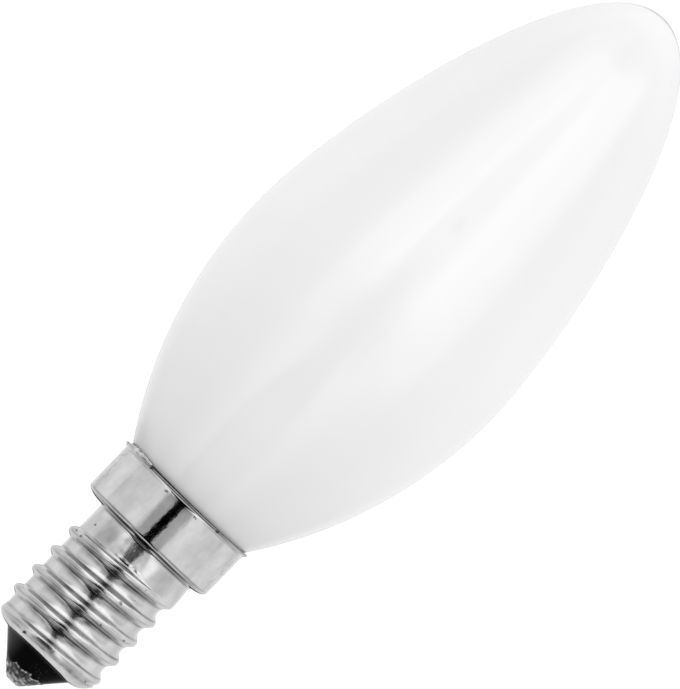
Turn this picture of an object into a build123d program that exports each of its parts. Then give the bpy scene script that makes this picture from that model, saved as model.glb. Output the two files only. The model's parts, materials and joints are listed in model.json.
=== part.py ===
import os
from math import ceil, pi, sqrt

from build123d import *

# A candle bulb with a small screw cap, standing on its bottom contact.
# The bulb's axis is +Z: the contact ends at z = 0 and the glass tip is at the top.
# The viewer's side is -Y, and the screw thread runs out into the neck at +X.

# Heights, stacked from the contact up
contact_height = 2.03
insulator_height = 1.98
screw_length = 16.39
skirt_height = 6.65
belly_height = 28.65
crown_height = 43.6

# Pressed sheet of the cap
wall = 0.3
crest_diameter = 13.84
thread_pitch = 2.822
thread_depth = 0.78
crest_width = 0.4
bevel_width = 1.04
bevel_drop = 0.2
ridge_width = 1.96
curl_radius = 2.93
mouth_diameter = 9.0
neck_length = 2.82
shoulder_width = 1.6
shoulder_round = 0.7
lip_height = 0.55
lip_flare = 0.38

# Glass envelope
glass_diameter = 34.2
crown_shoulder = 10.6
crown_width = 10.7
seal_height = 0.6

# Cement, insulator, contact and solder
cement_width = 0.82
cement_drop = 1.3
plug_height = 2.4
plate_diameter = 5.66
plate_thickness = 0.55
tip_diameter = 2.0
tip_bevel = 0.45
tip_bevel_width = 0.4
bead_height = 0.45
bead_start = 195
bead_sweep = 33

# Clearances
seat_clearance = 0.03
rim_gap = 0.36
crest_clearance = 0.05
root_dip = 0.04
neck_overlap = 0.02

# Straight bands that stand for each round stretch of an outline
cup_bands = 5
crown_bands = 8
curl_bands = 2

# Levels along the axis
shell_bottom = contact_height + insulator_height
shoulder_level = shell_bottom + screw_length
rim_level = shoulder_level + skirt_height
belly_level = rim_level + belly_height
tip_level = belly_level + crown_height
runout_level = shoulder_level - neck_length
lip_level = rim_level - lip_height

# Radii
crest_radius = crest_diameter / 2
root_radius = crest_radius - thread_depth
bore_radius = root_radius - wall
skirt_radius = crest_radius + shoulder_width
skirt_bore = skirt_radius - wall
lip_radius = skirt_radius + lip_flare
lip_bore = lip_radius - wall
belly_radius = glass_diameter / 2
throat_radius = lip_bore - rim_gap
glass_neck_radius = skirt_bore - cement_width
mouth_radius = mouth_diameter / 2
plate_radius = plate_diameter / 2
tip_radius = tip_diameter / 2

# The glass swells from the throat to the belly along one arc that is upright at the belly
cup_reach = belly_radius - throat_radius
cup_radius = (cup_reach**2 + belly_height**2) / (2 * cup_reach)
cup_centre = belly_radius - cup_radius

# The neck is a circle set off towards the thread's run-out: level with the crest on that side,
# and with the root on the other
neck_radius = (crest_radius + root_radius) / 2 + neck_overlap
neck_shift = thread_depth / 2
lead_slope = thread_pitch / (2 * pi * neck_radius)

# The barrel's bottom edge curls in along a quarter circle that clears the thread's crest
curl_centre = crest_radius + crest_clearance - curl_radius
curl_level = shell_bottom + curl_radius


def banded(curve, bands):
    """A smooth curve drawn as a chain of straight bands, which the revolve turns into cones."""
    shares = [step / bands for step in range(bands + 1)]
    Polyline(*[curve.position_at(share, PositionMode.PARAMETER) for share in shares])


def curl_height(radius, inset):
    """The level of the curled bottom at this radius, with its face drawn in by inset."""
    across = max(radius - curl_centre, 0)
    return curl_level - sqrt((curl_radius - inset) ** 2 - across**2)


def floor_height(radius):
    """The level of the cap's sloping floor, inside its curled bottom, at this radius."""
    rise = curl_height(bore_radius, wall) - shell_bottom - wall
    return shell_bottom + wall + rise * max(radius - curl_centre, 0) / (bore_radius - curl_centre)


def cup_level(radius):
    """The level at which the cup's arc has this radius."""
    return belly_level - sqrt(cup_radius**2 - (radius - cup_centre) ** 2)


def cup_radius_at(level):
    """The cup's radius at this level."""
    return cup_centre + sqrt(cup_radius**2 - (belly_level - level) ** 2)


# Glass envelope: a sealed opal bulb, whose neck goes down into the cap's skirt
seal_level = shoulder_level + wall + seal_height
with BuildPart() as glass_bulb:
    with BuildSketch(Plane.XZ):
        with BuildLine():
            belly = (belly_radius, belly_level)
            throat = (glass_neck_radius, cup_level(glass_neck_radius))
            cup = TangentArc(belly, throat, tangent=(0, -1), mode=Mode.PRIVATE)
            crown = Bezier(
                belly,
                (belly_radius, belly_level + crown_shoulder),
                (crown_width, tip_level),
                (0, tip_level),
                mode=Mode.PRIVATE,
            )
            banded(cup, cup_bands)
            banded(crown, crown_bands)
            Polyline(throat, (glass_neck_radius, seal_level), (0, seal_level), (0, tip_level))
        make_face()
    revolve(axis=Axis.Z)

# Neck blank: a round bar that is cut off below along the slope of the thread
with BuildPart() as neck:
    with BuildSketch(Plane.XY.offset(runout_level - thread_pitch)):
        with Locations((neck_shift, 0)):
            Circle(neck_radius)
    extrude(amount=thread_pitch + neck_length + wall)
    thread_slope = Plane(origin=(0, 0, runout_level), x_dir=(1, 0, 0), z_dir=(0, -lead_slope, 1))
    split(bisect_by=thread_slope, keep=Keep.TOP)

# Screw cap: one pressed sheet with lip, skirt, shoulder, neck, screw thread and curled bottom
turns = ceil((runout_level - shell_bottom) / thread_pitch)
thread_start = runout_level - turns * thread_pitch
with BuildPart() as screw_cap:
    with BuildSketch(Plane.XY.offset(shell_bottom)):
        Circle(root_radius)
    extrude(amount=screw_length + wall)

    # The thread's ridge climbs round the barrel, and on for half a turn past the run-out
    with BuildLine():
        Helix(
            pitch=thread_pitch,
            height=(turns + 0.5) * thread_pitch,
            radius=root_radius,
            center=(0, 0, thread_start),
        )
    with BuildSketch(Plane(origin=(0, 0, thread_start), x_dir=(1, 0, 0), z_dir=(0, -1, 0))):
        with BuildLine():
            Polyline(
                (root_radius - thread_depth / 2, 0),
                (root_radius - thread_depth / 2, ridge_width / 2),
                (root_radius - root_dip, ridge_width / 2),
                (crest_radius - bevel_drop, bevel_width / 2),
                (crest_radius, crest_width / 2),
                (crest_radius, 0),
                close=True,
            )
        make_face()
        mirror(about=Plane.XZ)
    sweep(is_frenet=True)

    # Past the run-out, at the back, the ridge sinks into the neck's own surface
    with BuildSketch(Plane.XY.offset(runout_level - thread_depth / 2)):
        Rectangle(4 * crest_radius, 2 * crest_radius, align=(Align.CENTER, Align.MIN))
        with Locations((neck_shift, 0)):
            Circle(neck_radius, mode=Mode.SUBTRACT)
    extrude(amount=2 * thread_pitch, mode=Mode.SUBTRACT)
    add(neck.part)

    # The curled bottom trims the barrel and the thread's first turn
    with BuildSketch(Plane.XZ):
        with BuildLine():
            curl = TangentArc(
                (curl_centre, shell_bottom),
                (curl_centre + curl_radius, curl_level),
                tangent=(1, 0),
                mode=Mode.PRIVATE,
            )
            banded(curl, curl_bands)
            Polyline(
                curl @ 1,
                (curl_centre + curl_radius, shoulder_level + wall),
                (0, shoulder_level + wall),
                (0, shell_bottom),
                curl @ 0,
            )
        make_face()
    revolve(axis=Axis.Z, mode=Mode.INTERSECT)

    # Skirt, with a round shoulder below and a flared lip above
    with BuildSketch(Plane.XZ):
        with BuildLine():
            shoulder = CenterArc(
                (skirt_radius - shoulder_round, shoulder_level + shoulder_round),
                shoulder_round,
                -90,
                90,
                mode=Mode.PRIVATE,
            )
            banded(shoulder, curl_bands)
            Polyline(
                shoulder @ 1,
                (skirt_radius, lip_level),
                (lip_radius, rim_level),
                (0, rim_level),
                (0, shoulder_level),
                shoulder @ 0,
            )
        make_face()
    revolve(axis=Axis.Z)

    # The hollow inside the sheet, open at the rim and at the mouth for the insulator
    with BuildSketch(Plane.XZ):
        with BuildLine():
            Polyline(
                (0, shell_bottom + wall),
                (curl_centre, shell_bottom + wall),
                (bore_radius, floor_height(bore_radius)),
                (bore_radius, shoulder_level + wall),
                (skirt_bore, shoulder_level + wall),
                (skirt_bore, lip_level),
                (lip_bore, rim_level),
                (0, rim_level),
                close=True,
            )
        make_face()
    revolve(axis=Axis.Z, mode=Mode.SUBTRACT)
    with BuildSketch(Plane.XY.offset(shell_bottom)):
        Circle(mouth_radius)
    extrude(amount=curl_radius, mode=Mode.SUBTRACT)

# Cement: a ring that holds the glass neck in the skirt
with BuildPart() as cement_ring:
    with BuildSketch(Plane.XY.offset(shoulder_level + shoulder_round)):
        Circle(skirt_bore - seat_clearance)
        Circle(glass_neck_radius + seat_clearance, mode=Mode.SUBTRACT)
    extrude(amount=skirt_height - lip_height - cement_drop - shoulder_round)

# Insulator: black glass that fills the curled bottom and tapers to the contact
with BuildPart() as cap_insulator:
    with BuildSketch(Plane.XZ):
        with BuildLine():
            plug_radius = bore_radius - seat_clearance
            mouth_fit = mouth_radius - seat_clearance
            plug_top = shell_bottom + wall + plug_height
            Polyline(
                (0, plug_top),
                (plug_radius, plug_top),
                (plug_radius, floor_height(plug_radius) + seat_clearance),
                (mouth_fit, floor_height(mouth_fit) + seat_clearance),
                (mouth_fit, curl_height(mouth_fit, 0)),
                (plate_radius, contact_height),
                (0, contact_height),
                close=True,
            )
        make_face()
    revolve(axis=Axis.Z)

# Contact: a plate under the insulator, with a cone of solder that ends in a small flat
cone_slope = (mouth_fit - plate_radius) / (curl_height(mouth_fit, 0) - contact_height)
plate_level = contact_height - plate_thickness
plate_end = plate_radius - cone_slope * plate_thickness
with BuildPart() as contact_plate:
    with BuildSketch(Plane.XZ):
        with BuildLine():
            Polyline(
                (0, contact_height),
                (plate_radius, contact_height),
                (plate_end, plate_level),
                (0, plate_level),
                close=True,
            )
        make_face()
    revolve(axis=Axis.Z)

with BuildPart() as contact_solder:
    with BuildSketch(Plane.XZ):
        with BuildLine():
            Polyline(
                (0, plate_level),
                (plate_end, plate_level),
                (tip_radius + tip_bevel_width, tip_bevel),
                (tip_radius, 0),
                (0, 0),
                close=True,
            )
        make_face()
    revolve(axis=Axis.Z)

# Side solder: a short bead between the lip and the glass, where the lead wire comes out
bead_plane = Plane(
    origin=(0, 0, 0),
    x_dir=Vector(1, 0, 0).rotate(Axis.Z, bead_start),
    z_dir=Vector(0, -1, 0).rotate(Axis.Z, bead_start),
)
bead_top = rim_level + bead_height
with BuildPart() as side_solder:
    with BuildSketch(bead_plane):
        with BuildLine():
            Polyline(
                (throat_radius + seat_clearance, rim_level),
                (lip_radius, rim_level),
                (cup_radius_at(bead_top) + seat_clearance, bead_top),
                close=True,
            )
        make_face()
    revolve(axis=Axis.Z, revolution_arc=bead_sweep)

os.makedirs("parts", exist_ok=True)
glass_bulb.part.label = "glass_bulb"
screw_cap.part.label = "screw_cap"
cement_ring.part.label = "cement_ring"
cap_insulator.part.label = "cap_insulator"
contact_plate.part.label = "contact_plate"
contact_solder.part.label = "contact_solder"
side_solder.part.label = "side_solder"
export_step(glass_bulb.part, "parts/glass_bulb.step")
export_step(screw_cap.part, "parts/screw_cap.step")
export_step(cement_ring.part, "parts/cement_ring.step")
export_step(cap_insulator.part, "parts/cap_insulator.step")
export_step(contact_plate.part, "parts/contact_plate.step")
export_step(contact_solder.part, "parts/contact_solder.step")
export_step(side_solder.part, "parts/side_solder.step")
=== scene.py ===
# %% [markdown]
# # A candle bulb
# The object is a candle bulb: an opal glass envelope that is cemented into a small screw cap of plated sheet.
# The packed model gives the sizes and the places. This lesson dresses it: fine, smooth surfaces take the place
# of the coarse solids, and every surface gets a finish of its own. All shapes are worked out as whole numpy
# arrays, in millimetres, round the bulb's axis, which is +Z and starts at the bottom contact.

# %% Load the frame
import json
import math

import bpy
import numpy as np
from mathutils import Matrix, Vector


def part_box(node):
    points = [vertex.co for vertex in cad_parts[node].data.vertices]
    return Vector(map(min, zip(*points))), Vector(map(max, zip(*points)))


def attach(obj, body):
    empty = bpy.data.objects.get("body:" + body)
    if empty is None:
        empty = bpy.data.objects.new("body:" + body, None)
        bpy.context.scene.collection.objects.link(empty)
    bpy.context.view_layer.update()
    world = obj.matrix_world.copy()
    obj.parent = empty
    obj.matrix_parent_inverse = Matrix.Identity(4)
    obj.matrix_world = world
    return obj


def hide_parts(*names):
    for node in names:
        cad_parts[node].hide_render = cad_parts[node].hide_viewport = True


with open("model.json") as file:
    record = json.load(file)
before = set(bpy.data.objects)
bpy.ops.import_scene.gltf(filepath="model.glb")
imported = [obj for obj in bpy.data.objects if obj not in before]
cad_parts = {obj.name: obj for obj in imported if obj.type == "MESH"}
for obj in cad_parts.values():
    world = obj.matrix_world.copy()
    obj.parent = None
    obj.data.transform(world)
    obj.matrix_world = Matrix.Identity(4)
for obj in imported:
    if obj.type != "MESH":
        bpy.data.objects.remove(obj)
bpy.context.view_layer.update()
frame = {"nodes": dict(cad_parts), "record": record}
print("nodes:", ", ".join(sorted(frame["nodes"])))

# %% [markdown]
# The main sizes come from the packed model, so that a surface here always fits the solid that it stands for:
# levels and the widest radii from the nodes' boxes, and the radii of the screw and the skirt from the mounts.
# Sizes that neither of them shows follow later, as named values.

# %% Read the sizes
MM = 0.001
mounts = {mount["name"]: mount for mount in frame["record"]["mounts"]}
crest_radius = mounts["e14_screw"]["dims"]["r_mm"]
skirt_radius = mounts["skirt"]["dims"]["r_mm"]


def levels(node):
    """The lowest and the highest level of a node, in millimetres."""
    low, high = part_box(node)
    return low.z / MM, high.z / MM


def reach(node):
    """The largest radius of a round node, in millimetres."""
    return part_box(node)[1].x / MM


seal_level, tip_level = levels("glass_bulb")
plate_level, contact_level = levels("contact_plate")
rim_level = levels("screw_cap")[1]
belly_radius = reach("glass_bulb")
lip_radius = reach("screw_cap")
print(f"glass {2 * belly_radius:.2f} mm across, tip at {tip_level:.2f} mm, rim at {rim_level:.2f} mm")

# %% [markdown]
# The photograph looks at the bulb level from the side, with the camera rolled so that the tip points to the
# upper right. A long lens from 1 m keeps the sides nearly parallel. The camera's right and up directions
# are both mixes of the bulb's axis and +X, and the lens follows from the width of the view.

# %% Place the camera
PHOTO_PIXELS = 689
PIXELS_PER_MM = 9.36
ROLL = math.radians(45.215)
CAMERA_DISTANCE = 1.0
aim = Vector((-0.05, 0.0, 50.23)) * MM
right = Vector((math.sin(ROLL), 0.0, math.cos(ROLL)))
up = Vector((-math.cos(ROLL), 0.0, math.sin(ROLL)))
back = Vector((0.0, -1.0, 0.0))

camera_data = bpy.data.cameras.new("camera")
camera_data.sensor_width = 36.0
camera_data.lens = camera_data.sensor_width * CAMERA_DISTANCE / (PHOTO_PIXELS / PIXELS_PER_MM * MM)
camera = bpy.data.objects.new("camera", camera_data)
turned = Matrix((right, up, back)).transposed().to_4x4()
camera.matrix_world = Matrix.Translation(aim + back * CAMERA_DISTANCE) @ turned
bpy.context.scene.collection.objects.link(camera)
bpy.context.scene.camera = camera
bpy.context.scene.view_settings.view_transform = "Standard"
print(f"lens {camera_data.lens:.0f} mm")

# %% [markdown]
# Shader trees are easier to read as formulas than as wires. This small class wraps a socket, and arithmetic on
# it adds Math nodes. One method makes any other node from its kind, its settings and its inputs. The last few
# are short ways to ask it for the nodes that are used most.


# %% Write shader maths as formulas
class Field:
    """A value that changes over a surface: a node's socket, to which each operator adds one Math node."""

    def __init__(self, tree, socket=None):
        self.tree = tree
        self.socket = socket

    def node(self, kind, settings=None, inputs=None, output=0):
        """Adds a node of this kind, makes its settings, fills its inputs, and wraps one of its outputs."""
        made = self.tree.nodes.new("ShaderNode" + kind)
        for name, value in (settings or {}).items():
            setattr(made, name, value)
        for name, value in (inputs or {}).items():
            if isinstance(value, Field):
                self.tree.links.new(value.socket, made.inputs[name])
            else:
                made.inputs[name].default_value = value
        return Field(self.tree, made.outputs[output])

    def math(self, operation, *terms):
        """A Math node on these terms."""
        return self.node("Math", {"operation": operation}, dict(enumerate(terms)))

    def __add__(self, other):
        return self.math("ADD", self, other)

    def __sub__(self, other):
        return self.math("SUBTRACT", self, other)

    def __rsub__(self, other):
        return self.math("SUBTRACT", other, self)

    def __mul__(self, other):
        return self.math("MULTIPLY", self, other)

    def __neg__(self):
        return self * -1.0

    def __abs__(self):
        return self.math("ABSOLUTE", self)

    __radd__ = __add__
    __rmul__ = __mul__

    def rise(self, low, high):
        """A soft step: 0 up to low, 1 from high on."""
        inputs = {"Value": self, "From Min": low, "From Max": high}
        return self.node("MapRange", {"interpolation_type": "SMOOTHSTEP"}, inputs)

    def axis(self, name):
        """One part of a vector: X, Y or Z."""
        return self.node("SeparateXYZ", inputs={"Vector": self}, output=name)

    def vector(self, operation, other, output="Vector"):
        """A Vector Math node on this vector and another."""
        return self.node("VectorMath", {"operation": operation}, {0: self, 1: other}, output)

    def distance(self, point):
        """How far this place lies from a point."""
        return self.vector("DISTANCE", point, "Value")

    def feed(self, shader, socket):
        """Links this value to a shader's socket."""
        self.tree.links.new(self.socket, shader.inputs[socket])


print("methods:", ", ".join(name for name in vars(Field) if not name.startswith("_")))

# %% [markdown]
# The light is a white tent with an upright slit for the lens. Polished metal shows it at once: the slit is the
# black line down the middle of the cap. Real walls and lamps could be built for it, but a world shader of the
# ray's direction draws the same tent in a few formulas. Its coordinates are the parts of the direction: aside
# is 1 to the right, depth is -1 towards the lens, and height is 1 straight up. Every part of the tent is a
# mask of 0 to 1 that rises or falls between two such numbers.

# %% Read the direction
world = bpy.data.worlds.new("tent")
bpy.context.scene.world = world
world.use_nodes = True
sky = Field(world.node_tree)
direction = sky.node("TexCoord", output="Generated")
aside = direction.axis("X")
across = abs(aside)
depth = direction.axis("Y")
height = direction.axis("Z")
below = -height
lens_side = (-depth).rise(0.0, 0.25)
print("direction read with", len(world.node_tree.nodes), "nodes")

# %% [markdown]
# The slit lies a little to the left of the lens. It is weaker above the lens, grows wider below it, and ends
# near the floor. A second, narrower slit behind the bulb gives the far side of the cap a dark line of its own.
# Strips of black cloth could hang in a real tent for this. Here each slit is one minus a soft step of the
# distance from its middle, so that its edges are as soft as the metal shows them.

# %% Cut the slits
SLIT_SHIFT = 0.014
SLIT_EDGE = (0.105, 0.15)
SLIT_SPREAD = 0.19

below_lens = 1.0 - 0.6 * height.rise(0.1, 0.4)
over_floor = 1.0 - 0.9 * below.rise(0.86, 0.97)
from_slit = abs(aside + SLIT_SHIFT) - SLIT_SPREAD * below.rise(0.05, 0.7)
slit = (1.0 - from_slit.rise(*SLIT_EDGE)) * lens_side * below_lens * over_floor
back_slit = (1.0 - across.rise(0.095, 0.13)) * depth.rise(0.0, 0.25)
back_slit = back_slit * (1.0 - abs(height).rise(0.3, 0.6))
print("slits cut with", len(world.node_tree.nodes), "nodes so far")

# %% [markdown]
# The walls aren't even. At the level of the lens a grey flank stands on each side of the slit. Above it the
# front walls are hot, and below it they are bright near the lens. The side walls are dimmer, most of all on the
# left and above the level, and so are the low walls. A faint seam joins the front half to the dimmer far side.
# More lamps could do this too, but each would light everything. A mask changes one part of the tent alone.

# %% Tone the walls
near_level = (1.0 - height.rise(0.0, 0.25)) * (1.0 - below.rise(0.1, 0.3))
flank = (1.0 - across.rise(0.32, 0.5)) * lens_side * near_level
hot_wall = lens_side * across.rise(0.08, 0.2) * (1.0 - across.rise(0.66, 0.84))
hot_wall = hot_wall * height.rise(0.0, 0.2) * (1.0 - height.rise(0.75, 0.9))
dim_wall = across.rise(0.6, 0.8) * (1.0 - depth.rise(-0.02, 0.08))
dim_wall = dim_wall * (0.1 + 0.05 * (-aside).rise(0.0, 0.2)) * (1.0 + 1.3 * height.rise(0.0, 0.2))
below_level = below.rise(0.1, 0.4) * (1.0 - below.rise(0.8, 0.95))
low_front = lens_side * across.rise(0.1, 0.25) * (1.0 - across.rise(0.45, 0.7)) * below_level
low_wall = below_level * across.rise(0.35, 0.65)
seam = depth.rise(-0.08, 0.0) * (1.0 - depth.rise(0.05, 0.16))
far_side = depth.rise(0.3, 0.8)
print("walls toned with", len(world.node_tree.nodes), "nodes so far")

# %% [markdown]
# Each mask makes the white of the tent darker or brighter by its own share. The camera's own rays get plain
# white, so that the tent shows only in what it lights.

# %% Light the tent
TENT_WHITE = 1.17
SEEN_WHITE = 1.05
CHANGES = [
    (slit, -1.0),
    (back_slit, -1.0),
    (flank, -0.5),
    (hot_wall, 0.42),
    (dim_wall, -1.0),
    (low_wall, -0.3),
    (low_front, 0.36),
    (seam, -0.06),
    (far_side, -0.18),
]

tent = TENT_WHITE
for mask, change in CHANGES:
    tent = tent * (1.0 + change * mask)
camera_ray = sky.node("LightPath", output="Is Camera Ray")
seen = tent + (SEEN_WHITE - tent) * camera_ray
seen.feed(world.node_tree.nodes["Background"], "Color")
print("tent of", len(world.node_tree.nodes), "nodes")

# %% [markdown]
# The floor is a plain white sheet under the contact. It is as bright as the white that the camera sees round
# the bulb, and only the camera sees it, so that it leaves no mark in the metal.


# %% Lay the floor
def pale_sheet():
    """Plain white that glows as brightly as the background."""
    material = bpy.data.materials.new("pale_sheet")
    material.use_nodes = True
    shader = material.node_tree.nodes["Principled BSDF"]
    shader.inputs["Base Color"].default_value = (0, 0, 0, 1)
    shader.inputs["Specular IOR Level"].default_value = 0.0
    shader.inputs["Emission Color"].default_value = (1, 1, 1, 1)
    shader.inputs["Emission Strength"].default_value = SEEN_WHITE
    return material


FLOOR_HALF = 3.0
floor_mesh = bpy.data.meshes.new("floor")
corners = np.array([(-1, -1, 0), (1, -1, 0), (1, 1, 0), (-1, 1, 0)]) * FLOOR_HALF
floor_mesh.from_pydata(corners.tolist(), [], [(0, 1, 2, 3)])
floor_mesh.materials.append(pale_sheet())
floor = bpy.data.objects.new("floor", floor_mesh)
floor.visible_diffuse = False
floor.visible_glossy = False
floor.visible_shadow = False
bpy.context.scene.collection.objects.link(floor)
print("floor laid")

# %% [markdown]
# Every piece here is round, so all of them are made of rings of points about the axis. The glass stands
# upright. The cap was cemented on slightly askew, so the points of the cap, and of all that it carries, are
# turned a little about Y at the end. Turning the points keeps each object at the origin.

# %% Lay points in rings
STEPS = 192
TILT = math.radians(0.9)
PIVOT = np.array([0.0, 0.0, 24.0])
angle = np.linspace(0.0, 2 * np.pi, STEPS, endpoint=False)


def rings_of(radius, level):
    """Rings about the axis: x = radius cos(angle), y = radius sin(angle), z = level."""
    radius, level, turn = np.broadcast_arrays(radius, level, angle)
    return np.stack([radius * np.cos(turn), radius * np.sin(turn), level], axis=-1)


def askew(points):
    """Points turned about Y by the cap's tilt, round a place on the axis inside the skirt."""
    turn = np.array([[np.cos(TILT), 0, -np.sin(TILT)], [0, 1, 0], [np.sin(TILT), 0, np.cos(TILT)]])
    return (points - PIVOT) @ turn.T + PIVOT


print(f"{STEPS} points in a ring, cap askew by {math.degrees(TILT):.1f} degrees")

# %% [markdown]
# One helper turns rings into a finished piece. It joins neighbours with quads, closes the seam, and closes an
# end with a fan where it gets a pole. Further values at the points, such as the painted reflections and shade
# of the cap, become attributes of the mesh that a finish can read. A Screw modifier could turn an outline too,
# but not a thread that changes on its way round.


# %% Join the rings
def make_piece(name, rings, material, slot, node, bottom=None, top=None, on_cap=True, **fields):
    """A smooth mesh from rings of points in millimetres: quads between neighbours, a fan to each pole."""
    rows, steps, _ = rings.shape
    here = np.arange(rows * steps).reshape(rows, steps)
    ahead = np.roll(here, -1, axis=1)
    faces = np.stack([here[:-1], ahead[:-1], ahead[1:], here[1:]], axis=-1).reshape(-1, 4).tolist()
    points = rings.reshape(-1, 3)
    if bottom is not None:
        pole = np.full(steps, len(points))
        faces += np.stack([ahead[0], here[0], pole], axis=-1).tolist()
        points = np.vstack([points, (0.0, 0.0, bottom)])
    if top is not None:
        pole = np.full(steps, len(points))
        faces += np.stack([here[-1], ahead[-1], pole], axis=-1).tolist()
        points = np.vstack([points, (0.0, 0.0, top)])
    points = askew(points) if on_cap else points
    mesh = bpy.data.meshes.new(name)
    mesh.from_pydata((points * MM).tolist(), [], faces)
    mesh.shade_smooth()
    for field, values in fields.items():
        spread = np.zeros(len(points))
        spread[: values.size] = values.ravel()
        mesh.attributes.new(field, "FLOAT", "POINT").data.foreach_set("value", spread)
    mesh.materials.append(material)
    piece = bpy.data.objects.new(name, mesh)
    bpy.context.scene.collection.objects.link(piece)
    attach(piece, "root")
    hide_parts(node)
    print(f"{name}: {sum(len(face) - 2 for face in faces)} triangles")
    return piece


# %% [markdown]
# Each finish starts from the same place: a new material, its shader, and the position on the piece in
# millimetres, so that a pattern's scale can be read as features per millimetre. Tones and relief have a helper
# each, because every finish ends with them.


# %% Start a finish
def new_finish(name):
    """A new material, its shader, and the position on the piece in millimetres."""
    material = bpy.data.materials.new(name)
    material.use_nodes = True
    place = Field(material.node_tree).node("TexCoord", output="Object")
    scale = {"Vector": place, "Scale": 1 / MM}
    place = place.node("VectorMath", {"operation": "SCALE"}, scale, "Vector")
    return material, material.node_tree.nodes["Principled BSDF"], place


def shade(value, dark, light):
    """A grey between two tones: dark where the value is 0, light where it is 1."""
    ends = {"Factor": value, 6: (dark, dark, dark, 1), 7: (light, light, light, 1)}
    return value.node("Mix", {"data_type": "RGBA"}, ends, 2)


def bump(value, height):
    """A normal for relief of this height, in millimetres."""
    return value.node("Bump", inputs={"Height": value, "Distance": height * MM})


print(f"finishes read places in millimetres, {1 / MM:.0f} to the metre")

# %% [markdown]
# Wear comes in three patterns. Clouds are soft noise, for handling and grain. Specks are the middles of
# scattered cells, for dust and pits anywhere. Spots are single marks at known places on the front, with an
# outline that noise pulls out of round.

# %% Draw the patterns
WANDER = 0.5


def cloud(place, scale, detail=3.0, stretch=(1, 1, 1)):
    """Soft noise from 0 to 1, with this many features per millimetre along each axis."""
    drawn = place.vector("MULTIPLY", stretch)
    return place.node("TexNoise", inputs={"Vector": drawn, "Scale": scale, "Detail": detail})


def specks(place, scale, size):
    """Small round dots, 1 inside: the middles of scattered cells."""
    dots = place.node("TexVoronoi", inputs={"Vector": place, "Scale": scale}, output="Distance")
    return 1.0 - dots.rise(size, 2 * size)


def spots(place, marks):
    """Dots on the front, 1 inside. A mark is its place across, its level and its radius, in millimetres."""
    front = (-place.axis("Y")).rise(0.0, 1.0)
    wander = place.node("TexNoise", inputs={"Vector": place, "Scale": 3.0}, output="Color")
    torn = place.vector("ADD", wander.vector("MULTIPLY", (WANDER, WANDER, WANDER)))
    flat = torn.vector("MULTIPLY", (1, 0, 1))
    total = 0.0
    for across, level, radius in marks:
        away = flat.distance((across + WANDER / 2, 0, level + WANDER / 2))
        total = total + (1.0 - away.rise(0.5 * radius, 1.3 * radius))
    return total * front


print(f"the outline of a spot wanders by up to {WANDER / 2} mm")

# %% [markdown]
# ## The glass
# The envelope is blown opal glass: white all through, with a smooth skin. Its outline is an arc that swells
# from the cap to the belly, and then one Bezier curve to the tip. Both come from a formula, so the surface
# can be as fine as the picture needs.

# %% Shape the glass
CUP_RINGS = 70
CROWN_RINGS = 130
belly_level = 55.7
throat_radius = 8.24
glass_neck_radius = 7.4
crown_shoulder = 10.6
crown_width = 10.7

cup_reach = belly_radius - throat_radius
cup_radius = (cup_reach**2 + (belly_level - rim_level) ** 2) / (2 * cup_reach)
cup_start = math.acos((glass_neck_radius - belly_radius + cup_radius) / cup_radius)


def cup_outline(count):
    """An arc of one circle, from the neck to the belly, where it is upright."""
    turn = np.linspace(-cup_start, 0.0, count)
    return belly_radius - cup_radius * (1 - np.cos(turn)), belly_level + cup_radius * np.sin(turn)


def crown_outline(count):
    """A cubic Bezier curve, upright at the belly and level at the tip."""
    t = np.linspace(0.0, 1.0, count)
    radius = (1 - t) ** 2 * (1 + 2 * t) * belly_radius + 3 * (1 - t) * t**2 * crown_width
    low = (1 - t) ** 2 * (1 + 2 * t) * belly_level + 3 * (1 - t) ** 2 * t * crown_shoulder
    return radius, low + t**2 * (3 - 2 * t) * tip_level


def glass_rings():
    """The neck's foot, the cup's arc and the crown's curve, turned about the axis."""
    cup_r, cup_z = cup_outline(CUP_RINGS)
    crown_r, crown_z = crown_outline(CROWN_RINGS)
    foot_r = np.array([0.96, 1.0]) * glass_neck_radius
    radius = np.concatenate([foot_r, cup_r, crown_r[1:-1]])
    level = np.concatenate([[seal_level, seal_level + 0.3], cup_z, crown_z[1:-1]])
    return rings_of(radius[:, None], level[:, None])


print(f"cup on a circle of {cup_radius:.1f} mm")

# %% [markdown]
# Opal glass scatters light like milk and has a clear skin that mirrors the lamps softly. Glass with true
# scattering inside would render slowly and look the same, so a white base under a smooth skin stands for it.
# Shade is painted into the white: it is greyer near the cap, where less light comes back out, greyer over
# the low cup, and a little darker at the tip. A painted shadow lies in the gap at the rim. Above the rim on the
# left, by the bead, the glass is darker, and one faint smudge is on the front.

# %% Finish the glass
SMUDGE_PLACE = (0, -16, 34)
SMUDGE_SQUASH = (1, 1, 0.5)
LEFT_DARK_PLACE = (-8.0, -3.5, 27.4)


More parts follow.
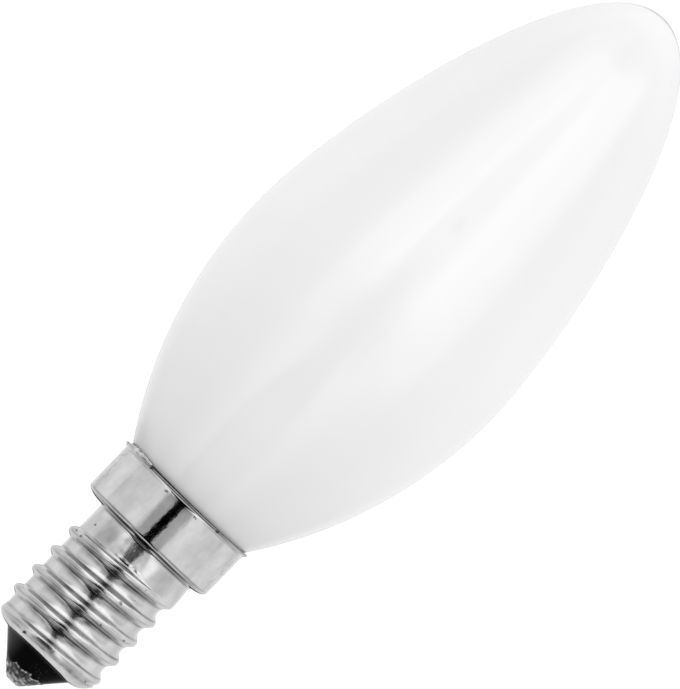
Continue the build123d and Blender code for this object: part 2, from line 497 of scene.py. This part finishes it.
def opal_glass():
    """White with painted shade towards the cap, the low cup and the tip, a painted shadow at the rim, faint
    clouds and marks, under a smooth skin.
    """
    material, shader, place = new_finish("opal_glass")
    level = place.axis("Z")
    # Painted shade: the white is greyer near the cap, over the low cup and at the tip.
    cap_shade = 1.0 - level.rise(rim_level - 3.0, rim_level + 5.5)
    low_cup_shade = 1.0 - level.rise(rim_level + 1.0, rim_level + 16.0)
    tip_shade = level.rise(60, 97)
    clouds = cloud(place, 0.06) - 0.5
    # Painted shadow in the gap at the rim, strongest at the front and the back.
    rim_gap_shadow = 1.0 - level.rise(rim_level, rim_level + 0.15)
    rim_gap_shadow = rim_gap_shadow * (1.0 - 0.6 * abs(place.axis("X")).rise(4.5, 6.0))
    smudge = 1.0 - place.vector("MULTIPLY", SMUDGE_SQUASH).distance(SMUDGE_PLACE).rise(0.2, 1.0)
    # The glass is darker above the rim on the left, by the bead.
    left_rim_dark = 1.0 - place.distance(LEFT_DARK_PLACE).rise(0.5, 4.5)
    white = 0.86 - 0.18 * cap_shade - 0.065 * low_cup_shade - 0.05 * tip_shade
    white = white + 0.03 * clouds - 0.7 * rim_gap_shadow - 0.04 * smudge - 0.12 * left_rim_dark
    shade(white, 0.1, 0.97).feed(shader, "Base Color")
    (0.12 + 0.05 * cloud(place, 0.15)).feed(shader, "Roughness")
    bump(cloud(place, 0.09, 1.0), 0.05).feed(shader, "Normal")
    shader.inputs["IOR"].default_value = 1.5
    return material


ends = (seal_level, tip_level)
opal = opal_glass()
envelope = make_piece("opal_envelope", glass_rings(), opal, "opal_glass", "glass_bulb", *ends, on_cap=False)

# %% [markdown]
# Soft lamps stand beside the lens and reach high above it. The glass mirrors them as two broad, pale bands
# down its front, each brightest along its inner edge, where a tube hangs before the lamp, and dim at its lower
# end. Bridges join the two sides above the lens, and two panels fill in the slit below it, because the glass
# shows no black line. All of them light the glass alone: the polished cap has the tent for its highlights. The
# camera sees none of them.

# %% Hang the lamps
LAMP_DISTANCE = 0.6
LAMPS = [
    # Its name, its inner and outer edge, its bottom and top, and its radiance.
    ("left_lamp", -12.5, -44, -12, 60, 0.8),
    ("left_tube", -12.5, -22, -2, 46, 0.55),
    ("left_skirt", -12.5, -44, -28, -12, 0.3),
    ("right_lamp", 14, 62, -12, 60, 0.8),
    ("right_tube", 14, 29, -2, 46, 0.55),
    ("right_skirt", 14, 62, -28, -12, 0.3),
    ("bridge", -12.5, 14, 14, 60, 0.65),
    ("lens_bridge", -8.5, 7.1, 14, 60, 0.75),
    ("low_panel", -12.5, 14, -34, 14, 0.55),
    ("cap_panel", -25, 24, -66, -34, 1.0),
]
lit_glass = bpy.data.collections.new("lit_glass")
lit_glass.objects.link(envelope)


def hang_lamp(name, inner, outer, bottom, top, radiance):
    """An area lamp between these degrees round from the lens and these degrees above its level."""
    turn = math.radians((inner + outer) / 2)
    lift = math.radians((bottom + top) / 2)
    way = Vector((math.sin(turn) * math.cos(lift), -math.cos(turn) * math.cos(lift), math.sin(lift)))
    data = bpy.data.lights.new(name, "AREA")
    data.shape = "RECTANGLE"
    data.size = 2 * LAMP_DISTANCE * math.cos(lift) * math.tan(math.radians(abs(outer - inner)) / 2)
    data.size_y = 2 * LAMP_DISTANCE * math.tan(math.radians(top - bottom) / 2)
    data.energy = radiance * math.pi * data.size * data.size_y
    lamp = bpy.data.objects.new(name, data)
    lamp.location = aim + way * LAMP_DISTANCE
    lamp.rotation_euler = (-way).to_track_quat("-Z", "Y").to_euler()
    lamp.visible_camera = False
    lamp.visible_diffuse = False
    lamp.light_linking.receiver_collection = lit_glass
    bpy.context.scene.collection.objects.link(lamp)
    print(f"{name}: {data.size:.2f} by {data.size_y:.2f} m, {data.energy:.2f} W")


for lamp_sizes in LAMPS:
    hang_lamp(*lamp_sizes)

# %% [markdown]
# ## The cap
# The cap is one pressed sheet. From below it has a curled bottom, a barrel with the screw thread, a neck, a
# shoulder, a straight skirt and a flared lip. Only the skirt and the lip are plain turned shapes. The barrel's
# radius is the root's plus the height of the ridge. Across the ridge this height has a round crest, straight
# flanks and a round foot. On the left of the real cap the foot is tighter and the flanks are steeper.

# %% Set the cap's sizes
thread_pitch = 2.822
thread_depth = 0.78
crest_round = 0.42
curl_radius = 2.6
shell_bottom = 4.1
mouth_radius = 4.54
shoulder_level = 20.4
shoulder_reach = 2.0
shoulder_rise = 0.8
neck_fillet = 0.35
neck_middle = 18.8
neck_taper = 0.11
neck_flat = 0.1
runout_level = 17.58
burr_level = 17.8
thread_start = -4.55
lip_level = rim_level - 0.55
sheet = 0.3

left_side = ((1 - np.cos(angle)) / 2) ** 3
foot_round = 1.08 - 0.78 * left_side
flank_slope = np.radians(44.8 + 13.2 * left_side)
root_radius = crest_radius - thread_depth
curl_centre = crest_radius + 0.05 - curl_radius
curl_level = shell_bottom + curl_radius
flank_run = (thread_depth - (crest_round + foot_round) * (1 - np.cos(flank_slope))) / np.tan(flank_slope)
crest_reach = crest_round * np.sin(flank_slope)
foot_reach = crest_reach + flank_run
ridge_half = foot_reach + foot_round * np.sin(flank_slope)
print(f"ridge {2 * ridge_half.min():.2f} to {2 * ridge_half.max():.2f} mm wide")

# %% [markdown]
# A few small formulas shape all that follows. A soft step and a soft line fade one form into another. The
# larger or smaller of two heights joins two forms, with the corner between them rounded. Roughness is a sum of
# sines in many directions. Its seed is fixed, so it is the same on every run.

# %% Write the small formulas
WAVES = 40


def step(value, low, high):
    """A soft step: 0 up to low, 1 from high on."""
    share = np.clip((value - low) / (high - low), 0, 1)
    return share**2 * (3 - 2 * share)


def line_at(level, middle, width):
    """1 at this level, fading to 0 over this width."""
    return np.exp(-(((level - middle) / width) ** 2))


def larger(a, b, blend):
    """The larger of two heights, with the corner between them filled over this blend."""
    near = np.maximum(blend - np.abs(a - b), 0)
    return np.maximum(a, b) + near**2 / np.maximum(4 * blend, 1e-6)


def smaller(a, b, blend):
    """The smaller of two heights, with the corner rounded over this blend."""
    return -larger(-a, -b, blend)


def rough(points, size, seed):
    """A rough height of about -1 to 1: sines in many directions, with waves of about this length."""
    dice = np.random.default_rng(seed)
    ways = dice.normal(size=(3, WAVES))
    ways = ways / np.linalg.norm(ways, axis=0) * (2 * np.pi / size) * dice.uniform(0.5, 2.0, WAVES)
    return np.sin(points @ ways + dice.uniform(0, 2 * np.pi, WAVES)).sum(axis=-1) / 8


print(f"a line of width 1 is down to {line_at(1.0, 0.0, 1.0):.2f} at a distance of 1")

# %% [markdown]
# The thread is a helix. The level and the angle of a place give its turns from the run-out. Whole numbers lie
# on a crest, so what is over gives the distance from the nearest one. The neck above it isn't round: it is
# level with the root on the left and with the crest on the right, so the last ridge sinks into it. It tapers a
# little, and has a flat at the front. Where the ridge runs out, it swells, and a torn burr stands on its edge.
# Solids that are cut and joined could give this too, but with hard edges where they meet. One formula of level
# and angle keeps every joint round.


# %% Shape the thread
def ridge(offset):
    """Height at this axial distance from a crest: a round crest, a straight flank and a round foot."""
    away = np.abs(offset)
    crest = thread_depth - crest_round + np.sqrt(np.maximum(crest_round**2 - away**2, 0))
    slope = (away - crest_reach) * np.tan(flank_slope)
    flank = thread_depth - crest_round * (1 - np.cos(flank_slope)) - slope
    foot = foot_round - np.sqrt(np.maximum(foot_round**2 - (ridge_half - away) ** 2, 0))
    return np.select([away < crest_reach, away < foot_reach, away < ridge_half], [crest, flank, foot], 0)


def neck_height(level):
    """Height of the neck over the root: none at -X, the crest's at +X, more below, and a flat in front."""
    around = 0.5 + 0.375 * np.cos(angle) + 0.125 * np.cos(3 * angle)
    lower = neck_middle - level
    flat = line_at(angle, 4.74 + 0.03 * lower, 0.25)
    return thread_depth * around + neck_taper * lower * (0.6 + 0.4 * np.cos(angle)) - neck_flat * flat


def thread_turns(level):
    """How many turns of the thread a point lies above the run-out: whole numbers are the crest."""
    return (level - runout_level) / thread_pitch - angle / (2 * np.pi)


def thread_height(level):
    """Height of the sheet over the root: the ridges, and the neck that the last one runs out into."""
    turns = thread_turns(level)
    neck = neck_height(level)
    share = np.clip(neck / thread_depth, 0, 1)
    blend = share * (1 - share)
    climbed = np.round(turns) + angle / (2 * np.pi)
    start = step(climbed, thread_start, thread_start + 0.3)
    filled = thread_depth * (0.6 + 0.4 * np.cos(angle)) * (1 - step(level, 5.3, 6.2))
    swell = 1 + 0.17 * step(climbed, -0.5, 0.0)
    below = larger(ridge((turns - np.round(turns)) * thread_pitch) * start * swell, filled, 0.15)
    behind = smaller(ridge(np.minimum(turns, 0) * thread_pitch) * swell, neck, 0.3 * blend)
    before = larger(ridge((turns + 1) * thread_pitch) * swell, neck, blend)
    behind = np.where(turns < -0.5, below, behind)
    before = np.where(turns < -1, below, before)
    burr = step(angle, 4.5, 4.65) * (1 - step(angle, 4.9, 5.05))
    burr = burr * (0.09 + 0.08 * rough(rings_of(6.5, 0.0), 1.0, 3))
    return np.where(angle < np.pi, behind, before) + burr * line_at(level, burr_level, 0.1)


neck_ring = neck_height(neck_middle)
print(f"the neck stands {neck_ring.min():.2f} to {neck_ring.max():.2f} mm over the root")

# %% [markdown]
# The whole cap is one surface from the mouth at the bottom to the inside of the lip. The barrel is trimmed by
# the curl, as the real sheet is when it is rolled in. A Boolean cut would leave a sharp edge there. Taking the
# smaller of the two radii, with the corner rounded, leaves none.

# %% Shape the barrel
BARREL_STEP = 0.055


def arc(centre_r, centre_z, radius, start, stop, count):
    """Points of a circle in the outline's plane, between two directions in degrees from outwards."""
    turn = np.radians(np.linspace(start, stop, count))
    return np.stack([centre_r + radius * np.cos(turn), centre_z + radius * np.sin(turn)], axis=-1)


def curl_limit(level):
    """The largest radius that the curled bottom leaves at a level."""
    below = np.clip(curl_level - level, 0, curl_radius)
    return curl_centre + np.sqrt(curl_radius**2 - below**2)


def barrel_levels():
    """Levels from the cap's mouth, round the curled bottom, up to the fillet under the shoulder."""
    start = -math.degrees(math.acos((mouth_radius - curl_centre) / curl_radius))
    curl = arc(curl_centre, curl_level, curl_radius, start, 0, 60)
    rising = np.arange(curl_level, shoulder_level - neck_fillet, BARREL_STEP)[1:]
    return np.concatenate([curl[:, 1], rising])[:, None]


def barrel_rings():
    """The curled bottom and the thread, trimmed to the curl, up to the fillet under the shoulder."""
    level = barrel_levels()
    radius = smaller(root_radius + thread_height(level), curl_limit(level), 0.12)
    inner = np.full((1, STEPS), mouth_radius)
    return rings_of(np.vstack([inner, radius]), np.vstack([[[shell_bottom + sheet]], level]))


barrel = barrel_rings()
print("barrel rings:", len(barrel))

# %% [markdown]
# Above the neck come a small fillet, a broad shoulder in the shape of a quarter ellipse, the skirt, and a lip
# that flares out to the rim. An outline could be spun for the skirt and the lip, but not for the shoulder: it
# starts at the neck, which isn't round, and ends at the skirt, which is. So its radius depends on the angle
# too.


# %% Shape the shoulder, the skirt and the lip
def shoulder_rings():
    """A fillet out of the neck, and the part of a quarter ellipse from where the two meet to the skirt."""
    start = shoulder_level - neck_fillet
    neck = root_radius + neck_height(start)
    cut = np.arccos((neck + neck_fillet - skirt_radius + shoulder_reach) / shoulder_reach)
    turn = np.linspace(0, 1, 9)[:, None] * np.pi / 2
    joint = shoulder_level + shoulder_rise * (1 - np.sin(cut))
    fillet = rings_of(neck + neck_fillet * (1 - np.cos(turn)), start + (joint - start) * np.sin(turn))
    turn = -cut * np.linspace(1, 0, 20)[1:, None]
    radius = skirt_radius - shoulder_reach * (1 - np.cos(turn))
    return np.vstack([fillet, rings_of(radius, shoulder_level + shoulder_rise * (1 + np.sin(turn)))])


def skirt_rings():
    """The straight skirt, a lip that flares with the square of its height, a round rim and the inside."""
    straight = np.linspace(shoulder_level + shoulder_rise + 0.1, lip_level - 0.15, 60)
    skirt = np.stack([np.full_like(straight, skirt_radius), straight], axis=-1)
    bend = np.linspace(0, 1, 14)[:, None]
    flared = skirt_radius + (lip_radius - skirt_radius) * bend**2
    flare = np.hstack([flared, lip_level - 0.05 + 0.5 * bend])
    rim = arc(lip_radius - sheet / 2, rim_level - sheet / 2, sheet / 2, 0, 180, 9)
    inner = skirt_radius - sheet
    inside = np.array([(inner, lip_level - 0.2), (inner, lip_level - 1.4)])
    outline = np.vstack([skirt, flare, rim, inside])
    return rings_of(outline[:, :1], outline[:, 1:])


cap_rings = np.vstack([barrel, shoulder_rings(), skirt_rings()])
print("cap rings:", len(cap_rings))

# %% [markdown]
# Reflections and shade are painted into the plating as dark lines: thin lines along the ridges of the thread,
# at the shoulder, at the rim and on the front of the curl, and a painted reflection of the lens under the lip.
# They could be painted by hand. But they follow the shape, so they are worked out from it for all points at
# once, and kept as an attribute of the mesh. Along the ridges they drift a little, and fade where the painted
# reflection is bright.

# %% Mark the painted reflections and shade
# Painted dark reflections round the shoulder, and painted shadow at the rim where the glass meets the lip.
SHOULDER_LINES = [
    # Its level above the shoulder's, its width and its weight.
    (-0.08, 0.06, 1.1),
    (0.35, 0.13, 1.5),
    (0.72, 0.1, 0.75),
    (6.45, 0.08, 1.1),
    (6.64, 0.05, 1.5),
]


def ridge_lines(rings):
    """Painted reflections: dark lines along each ridge, set by the distance above its crest and faded by the
    place across.
    """
    along, level = rings[..., 0], rings[..., 2]
    aside = np.abs(along)
    turns = thread_turns(level)
    above_crest = (turns - np.round(turns)) * thread_pitch
    leftward = np.maximum(-along - 1.5, 0)
    front = 1 - step(aside, 3.5, 5.0)
    # The upper line fades where the painted reflection is bright.
    reflection_fade = 1 - line_at(along, 1.4, 1.3) - 0.8 * line_at(along, -1.0, 0.9) + 0.8 * step(along, 3.0, 4.0)
    upper = line_at(above_crest, 0.54 - 0.015 * along + 0.04 * leftward, 0.09 + 0.02 * leftward)
    under = line_at(above_crest, -0.28 - 0.03 * along, 0.14) * (0.32 + 0.16 * line_at(aside, 1.8, 0.8))
    lower = line_at(above_crest, -0.74 - 0.018 * along, 0.09)
    foot = line_at(above_crest, -1.06, 0.26) * (0.28 + 0.42 * line_at(aside, 1.3, 1.0))
    lines = 0.38 * upper * reflection_fade + under * front + 0.12 * line_at(above_crest, -0.7, 0.35)
    lines = lines + 0.8 * lower * (1 - 0.4 * step(aside, 4.0, 5.0) - 0.1 * leftward) + foot * front
    lines = lines + 0.15 * line_at(above_crest, 0.0, 0.3) * step(-along, 2.0, 3.0)
    lines = lines * (1 + 0.3 * rough(rings, 3.0, 2))
    last = -0.05 - 0.65 * step(angle, 2.2, 3.6) - 0.25 * step(angle, 4.9, 5.4)
    on_thread = (1 - step(turns, last - 0.1, last)) * step(level, shell_bottom + 1.0, shell_bottom + 1.4)
    return lines * on_thread


def edge_lines(rings):
    """Painted reflections and shade: dark lines round the shoulder and at the rim, a painted reflection of the
    lens under the lip, and a painted shade line on the front of the curl.
    """
    along, level = rings[..., 0], rings[..., 2]
    aside = np.abs(along)
    facing = 1 - 0.65 * step(aside, 3.0, 8.0)
    # A painted dark reflection of the lens under the lip.
    lines = 0.8 * line_at(level, shoulder_level + 5.95, 0.35) * line_at(aside, 0.0, 0.9)
    for middle, width, weight in SHOULDER_LINES:
        lines = lines + weight * line_at(level, shoulder_level + middle, width) * facing
    # A painted shade line on the front of the curl.
    curl_shade_line = line_at(level - 0.04 * along, 5.08, 0.15) * np.clip(-rings[..., 1] / 3 - 1, 0, 1)
    return lines + 0.6 * curl_shade_line * (1 + 0.5 * rough(rings, 1.5, 4))


marks = ridge_lines(cap_rings) + edge_lines(cap_rings)
print(f"tarnish of up to {marks.max():.2f}")

# %% [markdown]
# The sheet is bright nickel plate. It is nearly a mirror, so most of what it shows is the tent. What makes it
# look used are faint clouds of handling, fine scratches round the barrel, dark pits and dirt at the sides of
# the skirt. Dark reflections are painted on the neck. The neck is a little uneven, and the curl is duller than
# the rest. A picture of wear could be wrapped round it, but noise and marks at set places stay sharp from any
# distance.

# %% Finish the cap
CAP_SPOTS = [
    # Its place across, its level and its radius.
    (-5.0, 26.85, 0.2),
    (-5.73, 27.0, 0.14),
    (-2.12, 26.24, 0.2),
    (1.92, 26.32, 0.19),
    (4.75, 26.98, 0.2),
    (-5.0, 18.27, 0.12),
    (-6.0, 16.43, 0.15),
    (-5.3, 16.33, 0.15),
    (2.83, 14.3, 0.24),
    (5.83, 11.6, 0.13),
    (2.9, 11.2, 0.12),
    (-2.33, 4.92, 0.22),
    (6.0, 5.65, 0.13),
]
# Painted dark reflections on the neck.
NECK_REFLECTIONS = [(-3.9, 18.6, 1.6), (-3.0, 18.3, 1.4), (-1.4, 17.9, 0.9), (4.8, 19.0, 1.4)]


def nickel_plate():
    """A mirror of pale grey metal with clouds, pits, fine scratches and dirt, and painted reflections and
    shade.
    """
    material, shader, place = new_finish("nickel_plate")
    level = place.axis("Z")
    on_skirt = level.rise(shoulder_level - 0.2, shoulder_level + 0.4)
    on_neck = level.rise(runout_level - 0.4, runout_level + 0.4) * (1.0 - on_skirt)
    on_curl = 1.0 - level.rise(shell_bottom + 0.9, shell_bottom + 1.8)
    clouds = cloud(place, 0.45, 4.0)
    smears = cloud(place, 1.4, 3.0, (1, 1, 0.6))
    scratches = cloud(place, 0.6, 2.0, (1, 1, 14))
    pits = specks(place, 0.8, 0.05) * cloud(place, 0.3, 1.0).rise(0.55, 0.65) + spots(place, CAP_SPOTS)
    dirt = cloud(place, 2.2, 4.0).rise(0.5, 0.62) * abs(place.axis("X")).rise(7.3, 8.5) * on_skirt
    # The attribute holds the painted reflections and shade of the dark lines.
    tarnish = place.node("Attribute", {"attribute_name": "tarnish"}, output="Fac")
    tone = 0.8 + 0.4 * (clouds - 0.5) + 0.2 * (smears - 0.5) - 0.5 * pits - 0.8 * tarnish
    # Painted dark reflections darken the neck.
    tone = tone - 0.13 * spots(place, NECK_REFLECTIONS) - 0.3 * dirt
    shade(tone, 0.04, 0.67).feed(shader, "Base Color")
    dull = 0.15 - 0.02 * on_neck - 0.09 * on_skirt + 0.12 * on_curl
    (dull + 0.08 * clouds.rise(0.35, 0.75) + 0.3 * pits).feed(shader, "Roughness")
    relief = 0.5 * smears + 0.1 * scratches - 0.6 * pits + 2.0 * on_neck * cloud(place, 0.5, 1.0)
    bump(relief, 0.03).feed(shader, "Normal")
    shader.inputs["Metallic"].default_value = 1.0
    return material


make_piece("threaded_cap", cap_rings, nickel_plate(), "nickel_plate", "screw_cap", tarnish=marks)

# %% [markdown]
# ## The insulator and the contact
# Black glass fills the curled bottom and tapers to the contact. It was poured in hot, so a thin skin of it has
# crept a little way up the curl at the front, with an uneven edge. The cone is a plain turned shape. The skin
# could be a piece of its own, but as further rings on the cone it shows no seam.

# %% Shape the insulator
CONE_SLOPE = 0.9
cone_top = curl_level - math.sqrt(curl_radius**2 - (mouth_radius - curl_centre) ** 2)


def cone_radius(level):
    """The radius of the cone that runs from the cap's mouth down over the plate and the solder."""
    return mouth_radius - 0.02 - CONE_SLOPE * (cone_top - level)


def insulator_rings():
    """The cone from under the plate to the cap's mouth, and the thin skin that has crept up the curl."""
    level = np.linspace(plate_level, cone_top, 40)[:, None]
    cone = rings_of(cone_radius(level), level)
    crept = cone_top + 0.03 + 0.5 * np.clip(-np.sin(angle), 0, 1) ** 2
    crept = crept + 0.02 * rough(rings_of(4.5, 0.0), 1.5, 7)
    share = np.linspace(0.0, 1.0, 12)[:, None]
    level = cone_top + (crept - cone_top) * share**2
    radius = curl_limit(level) + 0.05 * (1 - 2 * share**6)
    return np.vstack([cone, rings_of(radius, level)])


cone = insulator_rings()
print("insulator rings:", len(cone))

# %% [markdown]
# The insulator is black all through. Faint rings from its mould show up close, dust clings to its right side,
# and a painted sheen makes its left side a little paler. Glass at full gloss would mirror the tent, and in the
# photograph it hardly does, so the gloss is turned nearly off.


# %% Finish the insulator
def black_glass():
    """Deep black with a weak gloss, faint rings from moulding, a little dust and a painted sheen on the left.
    """
    material, shader, place = new_finish("black_glass")
    across = place.axis("X")
    rings = cloud(place, 0.8, 2.0, (0.3, 0.3, 6))
    dust = specks(place, 3.0, 0.12) * cloud(place, 0.7).rise(0.45, 0.6) * across.rise(0.0, 2.5)
    # A painted sheen makes the left side paler.
    tone = 0.02 * rings + 0.6 * dust + 0.5 * (-across).rise(1.0, 4.0)
    shade(tone, 0.0005, 0.12).feed(shader, "Base Color")
    (0.08 + 0.1 * rings + 0.3 * dust).feed(shader, "Roughness")
    bump(rings, 0.02).feed(shader, "Normal")
    shader.inputs["Specular IOR Level"].default_value = 0.01
    return material


make_piece("insulator_cone", cone, black_glass(), "black_glass", "cap_insulator", plate_level, cone_top + 0.6)

# %% [markdown]
# The contact is a small plate with a rough cap of solder on it. The plate's edge is torn, and the solder is
# lumpy. Sculpting could give such forms, but only once. Here both are the cone's surface with roughness added
# to it, so they fit the insulator at every point. Each also gives its finish a painted highlight on its lumps.


# %% Shape the contact
def plate_rings():
    """A thin, lumpy skin on the cone, whose torn upper edge goes up and down round it."""
    share = np.linspace(0.0, 1.0, 40)[:, None]
    edge = contact_level - 0.05 + 0.12 * np.cos(angle) + 0.22 * rough(rings_of(2.5, 0.0), 1.4, 5)
    level = plate_level - 0.1 + (edge - plate_level + 0.1) * share
    lumps = rough(rings_of(cone_radius(level), level), 0.8, 6)
    ragged = 0.3 + 0.7 * step(np.cos(angle), -0.6, 0.6)
    proud = 0.02 + 0.08 * ragged * step(share, 0.4, 0.8) * np.clip(0.4 + lumps, 0, 1)
    radius = cone_radius(level) + proud * (1 - share**8) - 0.05 * share**8
    # A painted highlight on the lumps of the torn edge.
    bright = ragged * step(share, 0.35, 0.7) * np.clip(0.3 + 1.2 * lumps, 0, 1)
    return rings_of(radius, level), bright


def solder_rings():
    """A lumpy cone down to a small flat with a round edge."""
    share = np.linspace(0.0, 1.0, 80)[:, None]
    level = (plate_level + 0.05) * share**1.3
    radius = cone_radius(level) - 0.25 * (1 - step(share, -0.25, 0.25)) + 0.02
    lumps = rough(rings_of(radius, level), 0.9, 8)
    fade = np.minimum(8 * share, 1)
    # A painted highlight on the lumps, brighter towards the tip.
    bright = np.clip(0.5 * lumps + 0.75 * (1 - share), 0, 1)
    return rings_of(radius + 0.06 * lumps * fade, level), bright


plate, plate_highlight = plate_rings()
blob, blob_highlight = solder_rings()
print("plate rings:", len(plate), "and solder rings:", len(blob))

# %% [markdown]
# Old plate and solder are dull and grainy, with painted shade in the hollows and painted highlights where they
# stand proud. One finish serves for both, with tones and grain of their own. It could guess the proud places
# with more noise, but that wouldn't match the lumps, so it reads them from the mesh.


# %% Finish the contact
def rough_metal(name, dark, light, fine, relief):
    """Dull grey metal with this many grains per millimetre, of this height, with a painted highlight where it
    is proud.
    """
    material, shader, place = new_finish(name)
    grain = cloud(place, fine, 4.0)
    proud = place.node("Attribute", {"attribute_name": "proud"}, output="Fac")
    # Painted highlight where the mesh says a point is proud, and painted shade in the hollows.
    shade(2.0 * (grain - 0.4) * (0.18 + proud) + 0.5 * proud, dark, light).feed(shader, "Base Color")
    (0.3 + 0.3 * grain).feed(shader, "Roughness")
    bump(grain, relief).feed(shader, "Normal")
    shader.inputs["Metallic"].default_value = 1.0
    return material


plate_metal = rough_metal("contact_metal", 0.01, 0.65, 3.5, 0.1)
solder = rough_metal("solder", 0.03, 0.65, 3.0, 0.1)
ends = (plate_level - 0.1, contact_level - 0.2)
make_piece("contact_disc", plate, plate_metal, "contact_metal", "contact_plate", *ends, proud=plate_highlight)
ends = (0.0, plate_level + 0.05)
make_piece("contact_blob", blob, solder, "solder", "contact_solder", *ends, proud=blob_highlight)

# %% [markdown]
# ## The side solder
# On one side of the rim the lead wire comes out between the glass and the lip, under a short, lumpy bead of
# solder. Its surface is a flattened ring of points carried along the rim, which swells and shrinks on the way
# and closes at both ends. It is fresher than the contact's solder, so it is smoother and brighter.

# %% Shape the bead
BEAD_START = 194
BEAD_SWEEP = 40
BEAD_RADIUS = 8.62
BEAD_HALF_WIDTH = 0.28
BEAD_HALF_HEIGHT = 0.3


def bead_rings():
    """A lumpy cross-section carried along the rim from one end of the bead to the other."""
    along = np.linspace(0.0, 1.0, 90)[:, None]
    turn = np.radians(BEAD_START + BEAD_SWEEP * along)
    round_it = angle[None, ::4]
    outward = BEAD_HALF_WIDTH * np.cos(round_it)
    upward = BEAD_HALF_HEIGHT * np.sin(round_it)
    core = np.stack(np.broadcast_arrays(BEAD_RADIUS * turn, outward, upward), axis=-1)
    lumps = rough(core, 1.5, 9)
    size = np.sqrt(np.clip(np.sin(np.pi * along), 0, 1)) * (1 + 0.3 * lumps)
    radius = BEAD_RADIUS + size * outward
    level = rim_level + 0.1 + size * upward
    rings = np.stack([radius * np.cos(turn), radius * np.sin(turn), level], axis=-1)
    # A painted highlight on the lumps of the bead.
    return rings, np.clip(0.75 + 0.4 * lumps, 0, 1)


bead, bead_highlight = bead_rings()
bright_solder = rough_metal("bright_solder", 0.4, 0.7, 1.0, 0.015)
make_piece("rim_bead", bead, bright_solder, "solder", "side_solder", proud=bead_highlight)

# %% [markdown]
# ## The cement
# Deep in the gap between the lip and the glass sits the cement. Its solid has the right shape, so it stays and
# gets a grainy, sandy finish.


# %% Finish the cement
def sandy_cement():
    """Matte cement with fine grains."""
    material, shader, place = new_finish("cement")
    grain = cloud(place, 4.0, 3.0)
    shade(grain, 0.12, 0.4).feed(shader, "Base Color")
    (0.8 + 0.2 * grain).feed(shader, "Roughness")
    bump(grain, 0.05).feed(shader, "Normal")
    return material


cement = frame["nodes"]["cement_ring"]
cement.data.materials.clear()
cement.data.materials.append(sandy_cement())
print("cement finished")
